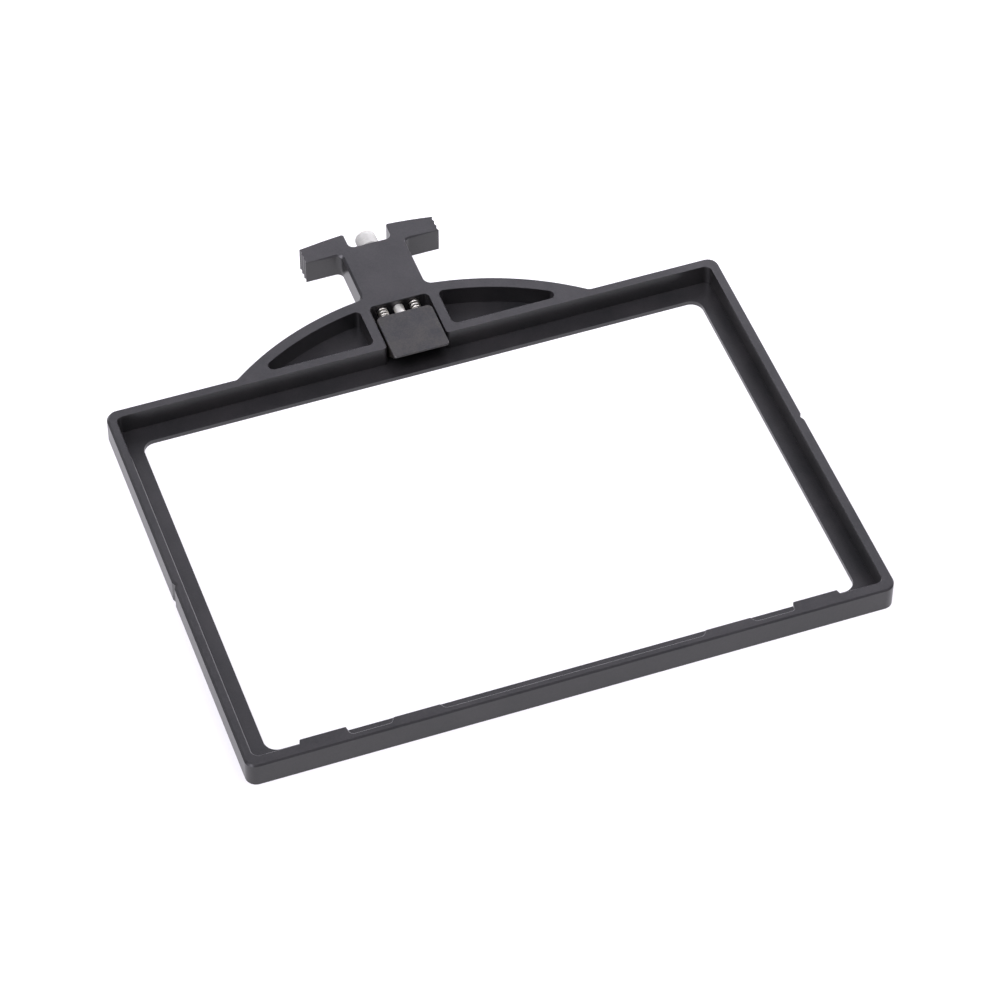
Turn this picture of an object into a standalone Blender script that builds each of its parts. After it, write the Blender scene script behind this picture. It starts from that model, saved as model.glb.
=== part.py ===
"""Filter tray of a camera matte box, with its sprung glass clamp.

One milled aluminium frame holds a 4 x 5.65 inch glass filter. Its far side rises in an arc to a neck
and a T-handle. A small clamp slides in a pocket of the frame. Two coil springs push it over the edge
of the glass, and a rod with a knob, which runs through the neck, pulls it back.

The plan is drawn about the middle of the frame's rectangle, where the arcs also have their centre:
X along the long side, Y towards the handle, Z up from the underside. Everything hangs from one empty,
which shifts the drawing so that the world origin is under the middle of the whole tray.
"""

import math

import bpy
from mathutils import Vector

MM = 0.001

# The plate that everything is milled from.
THICKNESS = 6.3 * MM
FRAME_WIDTH = 148.5 * MM
FRAME_DEPTH = 107.9 * MM
FRAME_CORNER = 2.5 * MM

# The glass filter that the tray is made for is 143.5 x 101.6 mm, and this thick.
GLASS_THICKNESS = 4.0 * MM

# The recess that takes the glass, the ledge that it lies on and the window under it.
LEDGE_TOP = 1.1 * MM
RECESS_HALF_WIDTH = 72.1 * MM
RECESS_NEAR = -52.3 * MM
RECESS_FAR = 51.7 * MM
RECESS_CORNER = 1.5 * MM
WINDOW_HALF_WIDTH = 67.9 * MM
WINDOW_NEAR = -47.3 * MM
WINDOW_FAR = 47.1 * MM
WINDOW_CORNER = 3.0 * MM

# The thin lip over the near edge of the glass: two tabs, two lands, and relieved stretches between.
GLASS_PLAY = 0.1 * MM
LIP_UNDERSIDE = LEDGE_TOP + GLASS_THICKNESS + GLASS_PLAY
LIP_END = -51.2 * MM
TAB_EDGE = -50.0 * MM
TAB_INNER = 51.2 * MM
TAB_OUTER = 61.5 * MM
TAB_SLANT = 0.4 * MM
LAND_EDGE = -50.95 * MM
LAND_INNER = 30.4 * MM
LAND_OUTER = 40.8 * MM
LIP_CORNER = 0.9 * MM

# V-shaped detent notches, halfway along the two sides.
DETENT_HALF_WIDTH = 1.05 * MM
DETENT_DEPTH = 0.5 * MM

# The arc that carries the handle. All the arcs share the centre of the frame.
ARC_RADIUS = 69.0 * MM
ARC_BAND = 3.0 * MM
ARC_FILLET = 2.0 * MM

# Two blind pockets that lighten the arc.
LIGHTENING_NEAR = 54.3 * MM
LIGHTENING_INNER = 9.7 * MM
LIGHTENING_CORNER = 1.2 * MM
LIGHTENING_FLOOR = 1.45 * MM

# The neck and the T-handle.
NECK_HALF_WIDTH = 7.75 * MM
HANDLE_FRONT = 84.2 * MM
HANDLE_HALF_WIDTH = 16.5 * MM
HANDLE_RADIUS = 90.5 * MM
HANDLE_FILLET = 1.5 * MM
GRIP_COUNT = 3
GRIP_CHORD = 1.5 * MM
GRIP_DEPTH = 0.28 * MM

# The notch between the wings of the handle, where the knob lies.
NOTCH_FLOOR = 85.55 * MM
NOTCH_HALF_WIDTH = 5.25 * MM
NOTCH_FLOOR_FILLET = 1.5 * MM
NOTCH_MOUTH_ROUND = 0.6 * MM

# The clamp: a square plate in its own pocket, whose front slopes back under a thin top edge.
SLIDER_SIDE = 13.5 * MM
SLIDER_FRONT = 48.3 * MM
SLIDER_LIP_EDGE = 0.28 * MM
SLIDER_WEDGE_ANGLE = math.radians(39.4)
SLIDER_FRONT_ROUND = 0.9 * MM
SLIDER_REAR_ROUND = 1.2 * MM
SLIDER_FLOOR_GAP = 0.3 * MM
SLIDER_SIDE_GAP = 0.4 * MM
SLIDER_REAR = SLIDER_FRONT + SLIDER_SIDE
POCKET_BACK = 65.5 * MM
POCKET_CORNER = 1.2 * MM
POCKET_MOUTH_ROUND = 1.0 * MM

# The pull rod and the springs lie at one height.
DRIVE_HEIGHT = 3.8 * MM
ROD_RADIUS = 1.25 * MM
ROD_SEAT_DEPTH = 6.5 * MM
ROD_END_CHAMFER = 0.2 * MM
FIXED_FIT = 0.05 * MM
RUNNING_FIT = 0.1 * MM
SEAT_END_GAP = 0.2 * MM
KNOB_RADIUS = 2.55 * MM
KNOB_FRONT = NOTCH_FLOOR + 0.15 * MM
KNOB_END = 90.3 * MM
KNOB_ROUND = 0.8 * MM
KNOB_CHAMFER = 0.2 * MM
KNOB_SEAT_DEPTH = 2.6 * MM
ROD_START = SLIDER_REAR - ROD_SEAT_DEPTH + SEAT_END_GAP
ROD_END = KNOB_FRONT + KNOB_SEAT_DEPTH - SEAT_END_GAP

SPRING_OFFSET = 3.9 * MM
SPRING_RADIUS = 1.25 * MM
SPRING_WIRE = 0.42 * MM
SPRING_TURNS = 12.5
SPRING_END_TURNS = 1.25
SPRING_END_PITCH = 0.46 * MM
SPRING_BORE_RADIUS = 1.45 * MM
SPRING_SLIDER_DEPTH = 6.0 * MM
SPRING_FRAME_DEPTH = 3.0 * MM
SPRING_END_GAP = 0.1 * MM
SPRING_START = SLIDER_REAR - SPRING_SLIDER_DEPTH + SPRING_END_GAP
SPRING_END = POCKET_BACK + SPRING_FRAME_DEPTH - SPRING_END_GAP

# How finely round shapes are cut into flats, and how far a cutter runs past what it cuts.
CHORD_ERROR = 0.01 * MM
LARGEST_STEP = math.radians(15)
ROD_SEGMENTS = 32
KNOB_SEGMENTS = 48
SPRING_STEPS_PER_TURN = 12
OVERRUN = 1.0 * MM
TINY = 1e-9

HANDLE_TIP = math.sqrt(HANDLE_RADIUS**2 - (NOTCH_HALF_WIDTH + NOTCH_MOUTH_ROUND) ** 2)
DRAWING_SHIFT = (FRAME_DEPTH / 2 - HANDLE_TIP) / 2


def clear_scene():
    for obj in list(bpy.data.objects):
        bpy.data.objects.remove(obj, do_unlink=True)


def material(name, colour, roughness, metallic):
    """A Principled BSDF material with one base colour."""
    made = bpy.data.materials.new(name)
    made.use_nodes = True
    shader = made.node_tree.nodes["Principled BSDF"]
    shader.inputs["Base Color"].default_value = (*colour, 1.0)
    shader.inputs["Roughness"].default_value = roughness
    shader.inputs["Metallic"].default_value = metallic
    return made


def arc(centre, start, end, turn=1):
    """Points along an arc about centre from start to end. turn is 1 for anticlockwise, -1 for clockwise."""
    radius = math.hypot(start[0] - centre[0], start[1] - centre[1])
    first = math.atan2(start[1] - centre[1], start[0] - centre[0])
    last = math.atan2(end[1] - centre[1], end[0] - centre[0])
    sweep = (turn * (last - first)) % (2 * math.pi)
    step = min(LARGEST_STEP, 2 * math.acos(1 - CHORD_ERROR / radius))
    count = max(2, math.ceil(sweep / step))
    angles = [first + turn * sweep * i / count for i in range(count + 1)]
    return [(centre[0] + radius * math.cos(a), centre[1] + radius * math.sin(a)) for a in angles]


def rounded(corners):
    """A closed outline from corners (x, y, radius), each rounded where its radius isn't 0."""
    outline = []
    for i, (x, y, radius) in enumerate(corners):
        here = Vector((x, y))
        if radius <= 0:
            outline.append((x, y))
            continue
        back = (Vector(corners[i - 1][:2]) - here).normalized()
        ahead = (Vector(corners[(i + 1) % len(corners)][:2]) - here).normalized()
        half = back.angle(ahead) / 2
        centre = here + (back + ahead).normalized() * radius / math.sin(half)
        reach = radius / math.tan(half)
        turn = 1 if back.x * ahead.y - back.y * ahead.x < 0 else -1
        outline += arc(centre, here + back * reach, here + ahead * reach, turn)
    return outline


def mirrored(half):
    """A closed outline from its right half, which starts and ends on the centre line."""
    return half + [(-x, y) for x, y in reversed(half) if x > TINY]


def mesh_object(name, points, faces, look=None):
    mesh = bpy.data.meshes.new(name)
    mesh.from_pydata(points, [], faces)
    mesh.validate()
    obj = bpy.data.objects.new(name, mesh)
    bpy.context.scene.collection.objects.link(obj)
    if look:
        mesh.materials.append(look)
    return obj


def plate(name, outline, bottom, top, look=None):
    """A closed prism from an anticlockwise outline."""
    count = len(outline)
    points = [(x, y, bottom) for x, y in outline] + [(x, y, top) for x, y in outline]
    faces = [tuple(reversed(range(count))), tuple(range(count, 2 * count))]
    for i in range(count):
        following = (i + 1) % count
        faces.append((i, following, following + count, i + count))
    return mesh_object(name, points, faces, look)


def turned(name, profile, segments, look=None):
    """A solid turned about the Y axis from a profile of (radius, y) that starts and ends on the axis."""
    points, rings = [], []
    for radius, y in profile:
        sides = 1 if radius < TINY else segments
        rings.append([len(points) + i for i in range(sides)])
        for i in range(sides):
            angle = 2 * math.pi * (i + 0.5) / segments
            points.append((radius * math.cos(angle), y, radius * math.sin(angle)))
    faces = []
    for low, high in zip(rings, rings[1:]):
        for i in range(segments):
            j = (i + 1) % segments
            ring = [low[i % len(low)], high[i % len(high)], high[j % len(high)], low[j % len(low)]]
            faces.append(tuple(dict.fromkeys(ring)))
    return mesh_object(name, points, faces, look)


def bore_profile(radius, start, end):
    return [(0, start), (radius, start), (radius, end), (0, end)]


def cut(target, cutter):
    """Takes the cutter's shape out of the target, and leaves the cutter as a hidden wire guide."""
    cutter.hide_render = True
    cutter.display_type = "WIRE"
    cutter.parent = target
    modifier = target.modifiers.new(cutter.name, "BOOLEAN")
    modifier.operation = "DIFFERENCE"
    modifier.solver = "EXACT"
    modifier.object = cutter


def smooth(obj, sharpest=20):
    obj.data.shade_smooth()
    obj.data.set_sharp_from_angle(angle=math.radians(sharpest))


def grip_edge():
    """The end of the right wing, from its front corner up: shallow scallops between narrow ribs."""
    rear = math.sqrt(HANDLE_RADIUS**2 - HANDLE_HALF_WIDTH**2)
    pitch = (rear - HANDLE_FRONT) / GRIP_COUNT
    radius = (GRIP_CHORD**2 / 4 + GRIP_DEPTH**2) / (2 * GRIP_DEPTH)
    centre_x = HANDLE_HALF_WIDTH - GRIP_DEPTH + radius
    points = [(HANDLE_HALF_WIDTH, HANDLE_FRONT)]
    for i in range(GRIP_COUNT):
        middle = HANDLE_FRONT + pitch * (i + 0.5)
        start = (HANDLE_HALF_WIDTH, middle - GRIP_CHORD / 2)
        end = (HANDLE_HALF_WIDTH, middle + GRIP_CHORD / 2)
        points += arc((centre_x, middle), start, end, turn=-1)
    return points + [(HANDLE_HALF_WIDTH, rear)]


def notch_edge():
    """The right side of the knob's notch, from the top of the wing down to the centre line."""
    mouth_x = NOTCH_HALF_WIDTH + NOTCH_MOUTH_ROUND
    reach = HANDLE_RADIUS - NOTCH_MOUTH_ROUND
    mouth = (mouth_x, math.sqrt(reach**2 - mouth_x**2))
    on_arc = (mouth[0] * HANDLE_RADIUS / reach, mouth[1] * HANDLE_RADIUS / reach)
    floor_y = NOTCH_FLOOR + NOTCH_FLOOR_FILLET
    floor_x = NOTCH_HALF_WIDTH - NOTCH_FLOOR_FILLET
    points = arc(mouth, on_arc, (NOTCH_HALF_WIDTH, mouth[1]))
    points += arc((floor_x, floor_y), (NOTCH_HALF_WIDTH, floor_y), (floor_x, NOTCH_FLOOR), turn=-1)
    return points + [(0, NOTCH_FLOOR)]


def arc_and_neck():
    """The arc from the far edge of the frame up to the neck, and the neck up to the wing."""
    reach = ARC_RADIUS + ARC_FILLET
    shrink = ARC_RADIUS / reach
    foot_y = FRAME_DEPTH / 2 + ARC_FILLET
    foot = (math.sqrt(reach**2 - foot_y**2), foot_y)
    throat_x = NECK_HALF_WIDTH + ARC_FILLET
    throat = (throat_x, math.sqrt(reach**2 - throat_x**2))
    foot_on_arc = (foot[0] * shrink, foot[1] * shrink)
    throat_on_arc = (throat[0] * shrink, throat[1] * shrink)
    wing = (NECK_HALF_WIDTH + HANDLE_FILLET, HANDLE_FRONT - HANDLE_FILLET)
    points = arc(foot, (foot[0], FRAME_DEPTH / 2), foot_on_arc, turn=-1)
    points += arc((0, 0), foot_on_arc, throat_on_arc)[1:-1]
    points += arc(throat, throat_on_arc, (NECK_HALF_WIDTH, throat[1]), turn=-1)
    points += arc(wing, (NECK_HALF_WIDTH, wing[1]), (wing[0], HANDLE_FRONT), turn=-1)
    return points


def frame_outline():
    side = FRAME_WIDTH / 2
    end = FRAME_DEPTH / 2
    inset = FRAME_CORNER
    points = [(0, -end)]
    points += arc((side - inset, inset - end), (side - inset, -end), (side, inset - end))
    points += [(side, -DETENT_HALF_WIDTH), (side - DETENT_DEPTH, 0), (side, DETENT_HALF_WIDTH)]
    points += arc((side - inset, end - inset), (side, end - inset), (side - inset, end))
    points += arc_and_neck() + grip_edge()
    notch = notch_edge()
    points += arc((0, 0), points[-1], notch[0])[1:-1] + notch
    return mirrored(points)


def recess_outline():
    """The recess seen from above, with the lip's tabs and lands along its near side."""
    round_off = LIP_CORNER
    half = [
        (0, RECESS_NEAR, 0),
        (LAND_INNER - round_off, RECESS_NEAR, round_off),
        (LAND_INNER, LAND_EDGE, round_off / 3),
        (LAND_OUTER, LAND_EDGE, round_off / 3),
        (LAND_OUTER + round_off, RECESS_NEAR, round_off),
        (TAB_INNER - TAB_SLANT, RECESS_NEAR, round_off),
        (TAB_INNER, TAB_EDGE, round_off / 3),
        (TAB_OUTER, TAB_EDGE, round_off / 3),
        (TAB_OUTER + TAB_SLANT, LIP_END, round_off / 3),
        (RECESS_HALF_WIDTH, LIP_END, RECESS_CORNER),
        (RECESS_HALF_WIDTH, RECESS_FAR, RECESS_CORNER),
        (0, RECESS_FAR, 0),
    ]
    left = [(-x, y, radius) for x, y, radius in reversed(half) if x > TINY]
    return rounded(half + left)


def box_outline(half_width, near, far, radius):
    return rounded(
        [
            (-half_width, near, radius),
            (half_width, near, radius),
            (half_width, far, radius),
            (-half_width, far, radius),
        ]
    )


def slider_pocket_outline():
    """The clamp's pocket, whose mouth opens into the recess between rounded corners."""
    wall = SLIDER_SIDE / 2 + SLIDER_SIDE_GAP
    mouth = POCKET_MOUTH_ROUND
    back = POCKET_CORNER
    start = (wall + mouth, RECESS_FAR)
    half = [(0, RECESS_FAR - OVERRUN), (wall + mouth, RECESS_FAR - OVERRUN)]
    half += arc((wall + mouth, RECESS_FAR + mouth), start, (wall, RECESS_FAR + mouth), turn=-1)
    half += arc((wall - back, POCKET_BACK - back), (wall, POCKET_BACK - back), (wall - back, POCKET_BACK))
    return mirrored(half + [(0, POCKET_BACK)])


def lightening_outline():
    """The right-hand blind pocket: straight near side and inner end, and the arc's inner face."""
    inner_arc = ARC_RADIUS - ARC_BAND
    corner = LIGHTENING_CORNER
    reach = inner_arc - corner
    low_y = LIGHTENING_NEAR + corner
    inner_x = LIGHTENING_INNER + corner
    tip = (math.sqrt(reach**2 - low_y**2), low_y)
    top = (inner_x, math.sqrt(reach**2 - inner_x**2))
    grow = inner_arc / reach
    tip_on_arc = (tip[0] * grow, tip[1] * grow)
    top_on_arc = (top[0] * grow, top[1] * grow)
    points = arc((inner_x, low_y), (LIGHTENING_INNER, low_y), (inner_x, LIGHTENING_NEAR))
    points += arc(tip, (tip[0], LIGHTENING_NEAR), tip_on_arc)
    points += arc((0, 0), tip_on_arc, top_on_arc)[1:-1]
    return points + arc(top, top_on_arc, (LIGHTENING_INNER, top[1]))


def bore(name, radius, start, end, offset=0.0):
    """A cutter for a round hole along Y at the drive height."""
    made = turned(name, bore_profile(radius, start, end), ROD_SEGMENTS)
    made.location = (offset, 0, DRIVE_HEIGHT)
    return made


def frame_body(origin, look):
    """The one-piece milled frame, with every recess, pocket and bore cut from the plate."""
    body = plate("frame_body", frame_outline(), 0, THICKNESS, look)
    body.parent = origin
    above = THICKNESS + OVERRUN
    cut(body, plate("cut_recess", recess_outline(), LEDGE_TOP, above))
    undercut = box_outline(RECESS_HALF_WIDTH, RECESS_NEAR, LIP_END + OVERRUN * 2, RECESS_CORNER)
    cut(body, plate("cut_lip_underside", undercut, LEDGE_TOP, LIP_UNDERSIDE))
    window = box_outline(WINDOW_HALF_WIDTH, WINDOW_NEAR, WINDOW_FAR, WINDOW_CORNER)
    cut(body, plate("cut_window", window, -OVERRUN, LEDGE_TOP + OVERRUN))
    cut(body, plate("cut_slider_pocket", slider_pocket_outline(), LEDGE_TOP, above))
    pocket = lightening_outline()
    cut(body, plate("cut_lightening_right", pocket, LIGHTENING_FLOOR, above))
    other = [(-x, y) for x, y in reversed(pocket)]
    cut(body, plate("cut_lightening_left", other, LIGHTENING_FLOOR, above))
    rod_hole = ROD_RADIUS + RUNNING_FIT
    cut(body, bore("cut_rod_bore", rod_hole, POCKET_BACK - OVERRUN, NOTCH_FLOOR + OVERRUN))
    for side, name in ((-1, "left"), (1, "right")):
        start, end = POCKET_BACK - OVERRUN, POCKET_BACK + SPRING_FRAME_DEPTH
        offset = side * SPRING_OFFSET
        cut(body, bore(f"cut_spring_seat_{name}", SPRING_BORE_RADIUS, start, end, offset))
    smooth(body)
    return body


def slider_outline(front):
    half = SLIDER_SIDE / 2
    return rounded(
        [
            (-half, front, SLIDER_FRONT_ROUND),
            (half, front, SLIDER_FRONT_ROUND),
            (half, SLIDER_REAR, SLIDER_REAR_ROUND),
            (-half, SLIDER_REAR, SLIDER_REAR_ROUND),
        ]
    )


def clamp_slider(carriage, look):
    """The clamp's plate: a wedge under its front edge, which bears on the glass, and blind rear bores."""
    bottom = LEDGE_TOP + SLIDER_FLOOR_GAP - DRIVE_HEIGHT
    top = THICKNESS - DRIVE_HEIGHT
    slider = plate("clamp_slider", slider_outline(SLIDER_FRONT), bottom, top, look)
    slider.parent = carriage
    low, edge = bottom - OVERRUN, top - SLIDER_LIP_EDGE
    slope = math.tan(SLIDER_WEDGE_ANGLE)
    side_view = [
        (SLIDER_FRONT - OVERRUN, low),
        (SLIDER_FRONT + (edge - low) / slope, low),
        (SLIDER_FRONT - OVERRUN, edge + OVERRUN * slope),
    ]
    step = plate("cut_slider_wedge", side_view, -SLIDER_SIDE, SLIDER_SIDE)
    step.rotation_euler = (math.pi / 2, 0, math.pi / 2)
    cut(slider, step)
    start, end = SLIDER_REAR - ROD_SEAT_DEPTH, SLIDER_REAR + OVERRUN
    rod_seat = bore("cut_rod_seat", ROD_RADIUS + FIXED_FIT, start, end)
    rod_seat.location.z = 0
    cut(slider, rod_seat)
    for side, name in ((-1, "left"), (1, "right")):
        start = SLIDER_REAR - SPRING_SLIDER_DEPTH
        seat = bore(f"cut_slider_bore_{name}", SPRING_BORE_RADIUS, start, end, side * SPRING_OFFSET)
        seat.location.z = 0
        cut(slider, seat)
    smooth(slider)
    return slider


def pull_rod(carriage, look):
    edge = ROD_END_CHAMFER
    profile = [
        (0, ROD_START),
        (ROD_RADIUS - edge, ROD_START),
        (ROD_RADIUS, ROD_START + edge),
        (ROD_RADIUS, ROD_END - edge),
        (ROD_RADIUS - edge, ROD_END),
        (0, ROD_END),
    ]
    rod = turned("pull_rod", profile, ROD_SEGMENTS, look)
    rod.parent = carriage
    smooth(rod)
    return rod


def pull_knob(carriage, look):
    """The knob, with a blind seat for the end of the rod."""
    seat = ROD_RADIUS + FIXED_FIT
    seat_end = KNOB_FRONT + KNOB_SEAT_DEPTH
    round_centre = (KNOB_RADIUS - KNOB_ROUND, KNOB_END - KNOB_ROUND)
    rim = arc(round_centre, (KNOB_RADIUS, round_centre[1]), (round_centre[0], KNOB_END))
    profile = [
        (0, seat_end),
        (seat, seat_end),
        (seat, KNOB_FRONT),
        (KNOB_RADIUS - KNOB_CHAMFER, KNOB_FRONT),
        (KNOB_RADIUS, KNOB_FRONT + KNOB_CHAMFER),
        *rim,
        (0, KNOB_END),
    ]
    knob = turned("pull_knob", profile, KNOB_SEGMENTS, look)
    knob.parent = carriage
    smooth(knob)
    return knob


def spring_path():
    """Points of the spring's centre line about the Y axis: closed end turns, open turns between."""
    reach = SPRING_RADIUS - SPRING_WIRE / 2
    start = SPRING_START + SPRING_WIRE / 2
    length = SPRING_END - SPRING_START - SPRING_WIRE
    end_rise = SPRING_END_TURNS * SPRING_END_PITCH
    pitch = (length - 2 * end_rise) / SPRING_TURNS
    turns = SPRING_TURNS + 2 * SPRING_END_TURNS
    steps = round(turns * SPRING_STEPS_PER_TURN)
    points = []
    for i in range(steps + 1):
        turn = turns * i / steps
        in_ends = min(turn, SPRING_END_TURNS) + max(0, turn - SPRING_END_TURNS - SPRING_TURNS)
        rise = in_ends * SPRING_END_PITCH + (turn - in_ends) * pitch
        angle = 2 * math.pi * turn
        points.append((reach * math.cos(angle), start + rise, reach * math.sin(angle)))
    return points


def coil_spring(name, offset, origin, look):
    curve = bpy.data.curves.new(name, "CURVE")
    curve.dimensions = "3D"
    curve.bevel_depth = SPRING_WIRE / 2
    curve.bevel_resolution = 1
    curve.use_fill_caps = True
    path = spring_path()
    spline = curve.splines.new("POLY")
    spline.points.add(len(path) - 1)
    for point, place in zip(spline.points, path):
        point.co = (*place, 1)
    curve.materials.append(look)
    spring = bpy.data.objects.new(name, curve)
    bpy.context.scene.collection.objects.link(spring)
    spring.location = (offset, 0, DRIVE_HEIGHT)
    spring.parent = origin
    return spring


def empty(name, place, parent=None):
    made = bpy.data.objects.new(name, None)
    bpy.context.scene.collection.objects.link(made)
    made.location = place
    made.parent = parent
    return made


def main():
    clear_scene()
    anodised = material("black_anodised_aluminium", (0.085, 0.085, 0.092), 0.45, 0.6)
    anodised_clamp = material("black_anodised_clamp", (0.095, 0.095, 0.1), 0.42, 0.6)
    polished = material("polished_stainless_steel", (0.82, 0.81, 0.8), 0.15, 1.0)
    spring_steel = material("bright_spring_steel", (0.75, 0.73, 0.71), 0.22, 1.0)
    origin = empty("tray_origin", (0, DRAWING_SHIFT, 0))
    carriage = empty("clamp_slide", (0, 0, DRIVE_HEIGHT), origin)
    frame_body(origin, anodised)
    clamp_slider(carriage, anodised_clamp)
    pull_rod(carriage, polished)
    pull_knob(carriage, polished)
    coil_spring("spring_left", -SPRING_OFFSET, origin, spring_steel)
    coil_spring("spring_right", SPRING_OFFSET, origin, spring_steel)


main()
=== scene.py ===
"""Looks of the filter tray: finished meshes, procedural materials, soft studio light and a camera.

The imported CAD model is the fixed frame. Each visible piece is either made from its CAD node's own mesh, with
its upper edges broken as on the milled and anodised original, or turned and coiled again on a finer mesh.
"""

import math

import bmesh
import bpy
from mathutils import Matrix, Vector


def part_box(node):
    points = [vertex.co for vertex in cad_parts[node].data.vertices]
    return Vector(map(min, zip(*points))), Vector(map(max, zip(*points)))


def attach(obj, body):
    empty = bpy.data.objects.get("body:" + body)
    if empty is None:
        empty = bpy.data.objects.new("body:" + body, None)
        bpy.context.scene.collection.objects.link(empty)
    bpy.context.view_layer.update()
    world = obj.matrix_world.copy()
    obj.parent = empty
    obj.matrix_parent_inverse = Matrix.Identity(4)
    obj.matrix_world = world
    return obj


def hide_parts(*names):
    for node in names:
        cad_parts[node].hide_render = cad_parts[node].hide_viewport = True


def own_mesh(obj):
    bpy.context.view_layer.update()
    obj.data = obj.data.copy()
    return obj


MM = 0.001

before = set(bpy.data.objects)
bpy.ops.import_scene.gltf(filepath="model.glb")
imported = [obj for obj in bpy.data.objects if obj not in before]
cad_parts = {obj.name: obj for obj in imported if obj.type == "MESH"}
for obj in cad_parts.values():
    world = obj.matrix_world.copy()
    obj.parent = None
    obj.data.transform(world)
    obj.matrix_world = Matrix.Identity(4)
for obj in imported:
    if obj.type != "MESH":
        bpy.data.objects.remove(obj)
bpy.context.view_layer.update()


# ---------------------------------------------------------------- camera

CAMERA_AIM = Vector((3.153, -13.71, 0.0)) * MM
CAMERA_DISTANCE = 927.3 * MM
CAMERA_AZIMUTH = math.radians(-19.94)
CAMERA_ELEVATION = math.radians(48.392)
CAMERA_ROLL = math.radians(0.18)
CAMERA_LENS = 148.96
CAMERA_SENSOR = 36.0


def camera():
    """A long lens from the front left, high up."""
    data = bpy.data.cameras.new("camera")
    data.lens = CAMERA_LENS
    data.sensor_width = CAMERA_SENSOR
    data.clip_start = 0.05
    data.clip_end = 20.0
    made = bpy.data.objects.new("camera", data)
    bpy.context.scene.collection.objects.link(made)
    level = math.cos(CAMERA_ELEVATION)
    back = Vector((
        math.sin(CAMERA_AZIMUTH) * level,
        -math.cos(CAMERA_AZIMUTH) * level,
        math.sin(CAMERA_ELEVATION),
    ))
    turn = (-back).to_track_quat("-Z", "Y") @ Matrix.Rotation(CAMERA_ROLL, 3, "Z").to_quaternion()
    made.rotation_mode = "QUATERNION"
    made.rotation_quaternion = turn
    made.location = CAMERA_AIM + back * CAMERA_DISTANCE
    bpy.context.scene.camera = made


# ---------------------------------------------------------------- studio

FLOOR_SIDE = 12.0
LIGHT_TINT = (0.98, 0.955, 1.07)
FLOOR_TINT = (0.985, 0.964, 1.02)
FLOOR_GLOW = 0.82
FLOOR_WHITE = (0.25, 0.25, 0.25, 1.0)

# How fast the floor's glow rises, for each metre towards +X and +Y, and where it stops.
FLOOR_SLOPE = Vector((0.7, 1.8, 0.0))
FLOOR_DIMMEST = 0.68
FLOOR_BRIGHTEST = 1.23

SKY = 0.5

# Soft panels in the sky: compass direction from +Y towards +X, height, half-width and soft rim, all in
# degrees, and brightness.
PANELS = (
    (30, -15, 45.5, 6, 6.7),
    (122, 69, 14, 6, 6.0),
    (257, 54, 20, 6, 6.0),
)


def maths(nodes, links, operation, first, second):
    """One step of arithmetic on two values, each a number or another node's output."""
    made = nodes.new("ShaderNodeMath")
    made.operation = operation
    for socket, value in zip(made.inputs, (first, second)):
        if isinstance(value, (int, float)):
            socket.default_value = value
        else:
            links.new(value, socket)
    return made.outputs[0]


def along(nodes, links, place, direction):
    """The component of a place along a direction."""
    made = nodes.new("ShaderNodeVectorMath")
    made.operation = "DOT_PRODUCT"
    links.new(place, made.inputs[0])
    made.inputs[1].default_value = direction
    return made.outputs["Value"]


def floor():
    """A white floor that glows, a little brighter towards the back right."""
    bpy.ops.mesh.primitive_plane_add(size=FLOOR_SIDE)
    made = bpy.context.object
    made.name = "floor"
    look = bpy.data.materials.new("floor_white")
    look.use_nodes = True
    nodes, links = look.node_tree.nodes, look.node_tree.links
    shader = nodes["Principled BSDF"]
    shader.inputs["Base Color"].default_value = FLOOR_WHITE
    shader.inputs["Roughness"].default_value = 1.0
    shader.inputs["Specular IOR Level"].default_value = 0.0
    shader.inputs["Emission Color"].default_value = (*FLOOR_TINT, 1.0)
    place = nodes.new("ShaderNodeNewGeometry").outputs["Position"]
    rise = maths(nodes, links, "ADD", along(nodes, links, place, FLOOR_SLOPE), FLOOR_GLOW)
    glow = maths(nodes, links, "MAXIMUM", rise, FLOOR_DIMMEST)
    glow = maths(nodes, links, "MINIMUM", glow, FLOOR_BRIGHTEST)
    links.new(glow, shader.inputs["Emission Strength"])
    made.data.materials.append(look)


def sky():
    """An even sky with a few large soft panels in it."""
    world = bpy.data.worlds.new("studio")
    world.use_nodes = True
    bpy.context.scene.world = world
    nodes, links = world.node_tree.nodes, world.node_tree.links
    background = nodes["Background"]
    background.inputs["Color"].default_value = (*LIGHT_TINT, 1.0)
    direction = nodes.new("ShaderNodeTexCoord").outputs["Generated"]
    total = SKY
    for compass, height, half_width, rim, brightness in PANELS:
        level = math.cos(math.radians(height))
        centre = Vector((
            math.sin(math.radians(compass)) * level,
            math.cos(math.radians(compass)) * level,
            math.sin(math.radians(height)),
        ))
        panel = nodes.new("ShaderNodeMapRange")
        panel.interpolation_type = "SMOOTHSTEP"
        panel.inputs["From Min"].default_value = math.cos(math.radians(half_width + rim))
        panel.inputs["From Max"].default_value = math.cos(math.radians(half_width))
        panel.inputs["To Max"].default_value = brightness
        links.new(along(nodes, links, direction, centre), panel.inputs["Value"])
        total = maths(nodes, links, "ADD", panel.outputs["Result"], total)
    links.new(total, background.inputs["Strength"])


def studio():
    """The plain view transform, the floor and the sky."""
    bpy.context.scene.view_settings.view_transform = "Standard"
    floor()
    sky()


# ---------------------------------------------------------------- materials

# Anodising. Noise scales are in features a metre.
ANODISED_IOR = 1.56
DYE_SPREAD = 0.3
GLOSS_PATCHES = 1.7
SPECKLE = 2600.0
SPECKLE_GLOSS = 0.02
FINE_GRAIN = 5200.0
FINE_DEPTH = 0.0006 * MM
COARSE_GRAIN = 1300.0
COARSE_DEPTH = 0.0036 * MM

# Steel. Stretching the noise across the axis draws it out into rings.
RING_STRETCH = (0.06, 1.0, 0.06)
RING_DEPTH = 0.0008 * MM
POLISH_CLOUDS = 700.0


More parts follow.
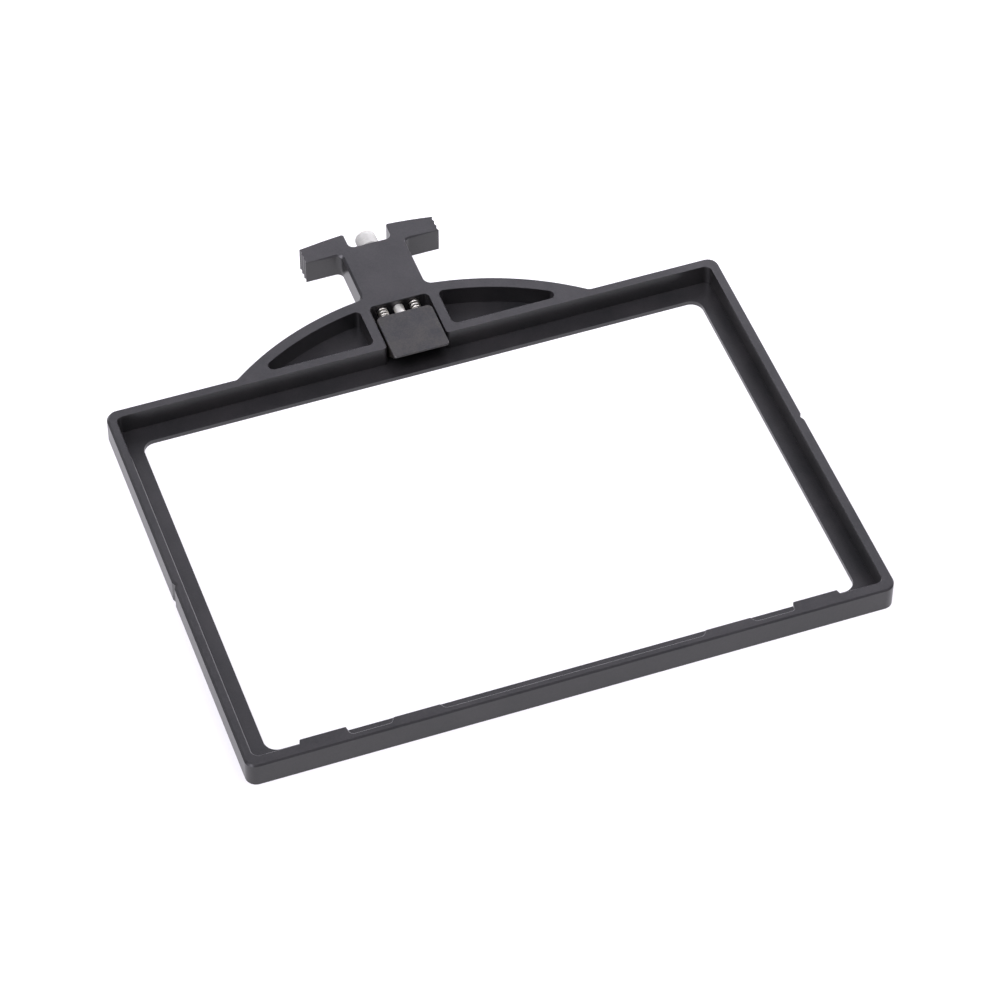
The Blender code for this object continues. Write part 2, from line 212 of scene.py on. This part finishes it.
def noise(nodes, links, place, scale, detail=2.0, rough=0.5):
    """Soft noise from 0 to 1. Its scale is in features a metre."""
    made = nodes.new("ShaderNodeTexNoise")
    made.inputs["Scale"].default_value = scale
    made.inputs["Detail"].default_value = detail
    made.inputs["Roughness"].default_value = rough
    links.new(place, made.inputs["Vector"])
    return made.outputs["Fac"]


def spread(nodes, links, value, low, high, start=0.3, end=0.7):
    """The part of value from start to end, stretched to go from low to high."""
    made = nodes.new("ShaderNodeMapRange")
    made.inputs["From Min"].default_value = start
    made.inputs["From Max"].default_value = end
    made.inputs["To Min"].default_value = low
    made.inputs["To Max"].default_value = high
    links.new(value, made.inputs["Value"])
    return made.outputs["Result"]


def blend(nodes, links, share, first, second):
    """The mix of two colours, all first where the share is 0 and all second where it is 1."""
    made = nodes.new("ShaderNodeMix")
    made.data_type = "RGBA"
    made.inputs["A"].default_value = (*first, 1.0)
    made.inputs["B"].default_value = (*second, 1.0)
    links.new(share, made.inputs["Factor"])
    return made.outputs["Result"]


def bumped(nodes, links, height, depth, shader, below=None):
    """Gives the shader a bumped surface, on top of the one below where there is one."""
    made = nodes.new("ShaderNodeBump")
    made.inputs["Strength"].default_value = 1.0
    made.inputs["Distance"].default_value = depth
    links.new(height, made.inputs["Height"])
    if below:
        links.new(below, made.inputs["Normal"])
    links.new(made.outputs["Normal"], shader.inputs["Normal"])
    return made.outputs["Normal"]


def anodised(name, dark, light, patches, sheen, contrast=1.0):
    """Black anodising on blasted aluminium: a fine grain, and faint patches in the dye and the gloss.

    A higher contrast makes the patches stand out more.
    """
    made = bpy.data.materials.new(name)
    made.use_nodes = True
    nodes, links = made.node_tree.nodes, made.node_tree.links
    shader = nodes["Principled BSDF"]
    shader.inputs["Metallic"].default_value = 0.0
    shader.inputs["IOR"].default_value = ANODISED_IOR
    place = nodes.new("ShaderNodeTexCoord").outputs["Object"]
    clouds = noise(nodes, links, place, patches, 3.0, 0.6)
    speckle = noise(nodes, links, place, SPECKLE, 2.0, 0.6)
    mottle = maths(nodes, links, "ADD", clouds, speckle)
    reach = DYE_SPREAD / contrast
    dye = spread(nodes, links, mottle, 0.0, 1.0, 1.0 - reach, 1.0 + reach)
    links.new(blend(nodes, links, dye, dark, light), shader.inputs["Base Color"])
    uneven = noise(nodes, links, place, patches * GLOSS_PATCHES, 4.0, 0.65)
    gloss = spread(nodes, links, uneven, sheen[0], sheen[1])
    fine = spread(nodes, links, speckle, -SPECKLE_GLOSS, SPECKLE_GLOSS)
    links.new(maths(nodes, links, "ADD", gloss, fine), shader.inputs["Roughness"])
    grain = bumped(nodes, links, noise(nodes, links, place, FINE_GRAIN, 3.0, 0.6), FINE_DEPTH, shader)
    bumped(nodes, links, noise(nodes, links, place, COARSE_GRAIN, 2.0, 0.55), COARSE_DEPTH, shader, grain)
    return made


def steel(name, dark, light, gloss, lines_per_mm, turned_rings=True):
    """Bright steel with slightly uneven polish, and with the fine rings about Y that turning leaves."""
    made = bpy.data.materials.new(name)
    made.use_nodes = True
    nodes, links = made.node_tree.nodes, made.node_tree.links
    shader = nodes["Principled BSDF"]
    shader.inputs["Metallic"].default_value = 1.0
    place = nodes.new("ShaderNodeTexCoord").outputs["Object"]
    stretch = nodes.new("ShaderNodeMapping")
    stretch.inputs["Scale"].default_value = RING_STRETCH if turned_rings else (1.0, 1.0, 1.0)
    links.new(place, stretch.inputs["Vector"])
    rings = noise(nodes, links, stretch.outputs["Vector"], lines_per_mm * 1000.0, 3.0, 0.65)
    cloud = spread(nodes, links, noise(nodes, links, place, POLISH_CLOUDS, 3.0, 0.6), 0.0, 1.0)
    links.new(blend(nodes, links, cloud, dark, light), shader.inputs["Base Color"])
    links.new(spread(nodes, links, rings, gloss[0], gloss[1]), shader.inputs["Roughness"])
    bumped(nodes, links, rings, RING_DEPTH, shader)
    return made


# ---------------------------------------------------------------- pieces made from the CAD mesh

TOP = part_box("frame_body")[1].z
FLAT = math.radians(1)
SHARP = math.radians(22)
WELD = 0.002 * MM
SHARPEST_MITRE = 0.5
FLAT_FACE_WEIGHT = 100

# The handle's two ribbed grips lie past these, and the knob's notch between them.
HANDLE_Y = 66.0 * MM
GRIP_X = 16.1 * MM
NOTCH_X = 7.0 * MM

OUTER_CHAMFER = 0.36 * MM
INNER_CHAMFER = 0.12 * MM
GRIP_CHAMFER = 0.03 * MM
REAR_CHAMFER = 0.06 * MM

# How far the outline's chamfer grows from the rear one to the outer one on a side that faces -Y or -X, and
# how fast it gets there as a rounded corner turns that way.
NEAR_REACH = 1.0
NEAR_PACE = 1.4
LEFT_REACH = 1.5
LEFT_PACE = 1.7
INNER_GROWTH = 0.9


def put(name, mesh, body, node):
    """A piece that rides on its body and stands for its CAD node."""
    piece = bpy.data.objects.new(name, mesh)
    bpy.context.scene.collection.objects.link(piece)
    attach(piece, body)
    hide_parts(node)
    return piece


def outer_loop(edges):
    """The corners of the edges that follow on from the one nearest -Y, all the way round."""
    start = min((vert for edge in edges for vert in edge.verts), key=lambda vert: vert.co.y)
    found, waiting = {start}, [start]
    while waiting:
        here = waiting.pop()
        reached = {edge.other_vert(here) for edge in here.link_edges if edge in edges} - found
        found |= reached
        waiting += reached
    return found


def chamfer_width(place, facing, on_outside, outer, inner):
    """Finest on the grips' ribs, and widest on the outline's sides that face -X and -Y."""
    if abs(place.x) > GRIP_X and place.y > HANDLE_Y:
        return GRIP_CHAMFER
    if not on_outside:
        return inner * (1.0 + INNER_GROWTH * max(0.0, facing.x, facing.y))
    if abs(place.x) < NOTCH_X and place.y > HANDLE_Y:
        return REAR_CHAMFER
    near = min(NEAR_REACH, -facing.y * NEAR_PACE)
    left = min(LEFT_REACH, -facing.x * LEFT_PACE)
    return REAR_CHAMFER + (outer - REAR_CHAMFER) * max(near, left, 0.0)


def chamfer(shape, outer, inner):
    """Breaks every edge where a flat face at the top meets the side below it."""
    flats = [face for face in shape.faces if all(abs(vert.co.z - TOP) < WELD for vert in face.verts)]
    edges = {}
    for face in flats:
        for edge in face.edges:
            others = [other for other in edge.link_faces if other not in flats]
            if others and edge.is_convex and edge.calc_face_angle(0) > SHARP:
                outward = others[0].normal.copy()
                outward.z = 0.0
                edges[edge] = outward.normalized()
    outside = outer_loop(edges)
    top = {}
    drops = {}
    for vert in [vert for vert in shape.verts if any(edge in edges for edge in vert.link_edges)]:
        sides = [edges[edge] for edge in vert.link_edges if edge in edges]
        facing = sum(sides, Vector()).normalized()
        width = chamfer_width(vert.co, facing, vert in outside, outer, inner)
        inward = facing * -width / max(facing.dot(sides[0]), SHARPEST_MITRE)
        top[vert] = shape.verts.new(vert.co + inward)
        drops[vert] = width
    bands = []
    for face in flats:
        for loop in face.loops:
            if loop.edge in edges:
                bands.append((loop.vert, loop.link_loop_next.vert))
        shape.faces.new([top.get(vert, vert) for vert in face.verts])
    bmesh.ops.delete(shape, geom=flats, context="FACES_KEEP_BOUNDARY")
    for first, second in bands:
        shape.faces.new((first, second, top[second], top[first]))
    for vert, width in drops.items():
        vert.co.z -= width


def finished(node, body, look, outer, inner):
    """The CAD node's own mesh with its upper edges broken, in the node's place."""
    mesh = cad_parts[node].data.copy()
    mesh.name = node + "_finished"
    mesh.materials.clear()
    shape = bmesh.new()
    shape.from_mesh(mesh)
    bmesh.ops.remove_doubles(shape, verts=shape.verts, dist=WELD)
    bmesh.ops.dissolve_limit(shape, angle_limit=FLAT, verts=shape.verts, edges=shape.edges)
    chamfer(shape, outer, inner)
    bmesh.ops.recalc_face_normals(shape, faces=shape.faces)
    shape.to_mesh(mesh)
    shape.free()
    mesh.materials.append(look)
    mesh.shade_smooth()
    mesh.set_sharp_from_angle(angle=SHARP)
    piece = put(mesh.name, mesh, body, node)
    level = piece.modifiers.new("flat_faces", "WEIGHTED_NORMAL")
    level.weight = FLAT_FACE_WEIGHT
    level.keep_sharp = True


# ---------------------------------------------------------------- pieces turned and coiled afresh

TURNED_SIDES = 72
TURNED_SHARP = math.radians(30)
ROUND_STEPS = 6

ROD_RADIUS = 1.25 * MM
ROD_START = 55.5 * MM
ROD_END = 88.1 * MM
ROD_EDGE = 0.2 * MM

# The drive is one straight line along +Y, at the rod's height. Places along it are as on the part's drawing,
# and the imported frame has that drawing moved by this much.
rod_low, rod_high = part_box("pull_rod")
DRIVE_HEIGHT = (rod_low.z + rod_high.z) / 2
SHIFT = rod_low.y - ROD_START

KNOB_RADIUS = 2.54 * MM
KNOB_FRONT = 85.7 * MM
KNOB_END = 90.3 * MM
KNOB_SEAT = 88.3 * MM
KNOB_EDGE = 0.2 * MM
KNOB_ROUND = 0.8 * MM
KNOB_DISH = 0.12 * MM
KNOB_BORE = ROD_RADIUS + 0.05 * MM

SPRING_OFFSET = 3.9 * MM
COIL_RADIUS = 1.04 * MM
WIRE_RADIUS = 0.21 * MM
SPRING_START = 55.9 * MM
SPRING_END = 68.4 * MM
SPRING_TURNS = 12.5
SPRING_END_TURNS = 1.25
SPRING_END_PITCH = 0.46 * MM
SPRING_STEPS = 30
SPRING_SIDES = 12
SPRING_SHARP = math.radians(50)


def rounded(radius, end, size):
    """A quarter round from the side of a turned piece to its end."""
    turns = [math.pi / 2 * i / ROUND_STEPS for i in range(ROUND_STEPS + 1)]
    return [(radius - size + size * math.cos(t), end - size + size * math.sin(t)) for t in turns]


def turned(name, profile, look):
    """A solid turned about the drive's axis from (radius, y) points."""
    shape = bmesh.new()
    rings = []
    for radius, y in profile:
        sides = 1 if radius == 0 else TURNED_SIDES
        angles = [2 * math.pi * i / TURNED_SIDES for i in range(sides)]
        ring = [(radius * math.cos(a), y + SHIFT, DRIVE_HEIGHT + radius * math.sin(a)) for a in angles]
        rings.append([shape.verts.new(place) for place in ring])
    for low, high in zip(rings, rings[1:]):
        for i in range(TURNED_SIDES):
            j = (i + 1) % TURNED_SIDES
            corners = [low[i % len(low)], high[i % len(high)], high[j % len(high)], low[j % len(low)]]
            shape.faces.new(list(dict.fromkeys(corners)))
    bmesh.ops.recalc_face_normals(shape, faces=shape.faces)
    mesh = bpy.data.meshes.new(name)
    shape.to_mesh(mesh)
    shape.free()
    mesh.materials.append(look)
    mesh.shade_smooth()
    mesh.set_sharp_from_angle(angle=TURNED_SHARP)
    return mesh


def rod_mesh(look):
    """A plain rod with a small chamfer at each end."""
    near, far = ROD_START, ROD_END
    profile = [(0, near), (ROD_RADIUS - ROD_EDGE, near), (ROD_RADIUS, near + ROD_EDGE)]
    profile += [(ROD_RADIUS, far - ROD_EDGE), (ROD_RADIUS - ROD_EDGE, far), (0, far)]
    return turned("rod_turned", profile, look)


def knob_mesh(look):
    """A knob bored for the rod, with a rounded and slightly dished end."""
    profile = [(0, KNOB_SEAT), (KNOB_BORE, KNOB_SEAT), (KNOB_BORE, KNOB_FRONT)]
    profile += [(KNOB_RADIUS - KNOB_EDGE, KNOB_FRONT), (KNOB_RADIUS, KNOB_FRONT + KNOB_EDGE)]
    profile += rounded(KNOB_RADIUS, KNOB_END, KNOB_ROUND)
    profile += [(KNOB_RADIUS * 0.5, KNOB_END - KNOB_DISH * 0.7), (0, KNOB_END - KNOB_DISH)]
    return turned("knob_turned", profile, look)


def coil_points(offset):
    """The middle of the spring's wire: closed turns at both ends and open turns between them."""
    turns = SPRING_TURNS + 2 * SPRING_END_TURNS
    run = SPRING_END - SPRING_START - 2 * WIRE_RADIUS
    pitch = (run - 2 * SPRING_END_TURNS * SPRING_END_PITCH) / SPRING_TURNS
    points = []
    steps = round(turns * SPRING_STEPS)
    for i in range(steps + 1):
        turn = turns * i / steps
        closed = min(turn, SPRING_END_TURNS) + max(0, turn - SPRING_END_TURNS - SPRING_TURNS)
        y = SPRING_START + WIRE_RADIUS + closed * SPRING_END_PITCH + (turn - closed) * pitch
        outward = Vector((math.cos(2 * math.pi * turn), 0.0, math.sin(2 * math.pi * turn)))
        points.append((Vector((offset, y + SHIFT, DRIVE_HEIGHT)) + outward * COIL_RADIUS, outward))
    return points


def spring_mesh(name, offset, look):
    """Round wire along the coil's middle line, closed at both ends."""
    shape = bmesh.new()
    points = coil_points(offset)
    rings = []
    for i, (middle, outward) in enumerate(points):
        ahead = points[min(i + 1, len(points) - 1)][0] - points[max(i - 1, 0)][0]
        across = ahead.cross(outward).normalized()
        ring = []
        for k in range(SPRING_SIDES):
            angle = 2 * math.pi * k / SPRING_SIDES
            aside = outward * math.cos(angle) + across * math.sin(angle)
            ring.append(shape.verts.new(middle + aside * WIRE_RADIUS))
        rings.append(ring)
    for low, high in zip(rings, rings[1:]):
        for k in range(SPRING_SIDES):
            j = (k + 1) % SPRING_SIDES
            shape.faces.new((low[k], high[k], high[j], low[j]))
    shape.faces.new(rings[0])
    shape.faces.new(rings[-1])
    bmesh.ops.recalc_face_normals(shape, faces=shape.faces)
    mesh = bpy.data.meshes.new(name)
    shape.to_mesh(mesh)
    shape.free()
    mesh.materials.append(look)
    mesh.shade_smooth()
    mesh.set_sharp_from_angle(angle=SPRING_SHARP)
    return mesh


def springs(look):
    """Both return springs. Each stays seated in the frame."""
    for side, name in ((-1, "spring_left"), (1, "spring_right")):
        offset = side * SPRING_OFFSET
        piece = put(name + "_coil", spring_mesh(name + "_coil", offset, look), "frame", name)
        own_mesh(piece)


# ---------------------------------------------------------------- scene

camera()
studio()
body_black = anodised(
    "black_anodising",
    dark=(0.0042, 0.0047, 0.005),
    light=(0.0155, 0.0142, 0.0145),
    patches=90.0,
    sheen=(0.305, 0.335),
)
clamp_black = anodised(
    "black_anodising_clamp",
    dark=(0.0015, 0.0022, 0.0035),
    light=(0.018, 0.016, 0.0125),
    patches=190.0,
    sheen=(0.3, 0.35),
    contrast=1.3,
)
knob_steel = steel("satin_steel", (0.48, 0.48, 0.45), (0.55, 0.55, 0.515), (0.8, 0.92), 9.0)
rod_steel = steel("ground_steel", (0.68, 0.675, 0.615), (0.78, 0.775, 0.71), (0.46, 0.6), 12.0)
wire_steel = steel("drawn_wire", (0.58, 0.56, 0.5), (0.76, 0.74, 0.67), (0.28, 0.42), 5.0, turned_rings=False)
finished("frame_body", "frame", body_black, OUTER_CHAMFER, INNER_CHAMFER)
finished("clamp_slider", "clamp", clamp_black, INNER_CHAMFER, INNER_CHAMFER)
put("rod_turned", rod_mesh(rod_steel), "clamp", "pull_rod")
put("knob_turned", knob_mesh(knob_steel), "clamp", "pull_knob")
springs(wire_steel)
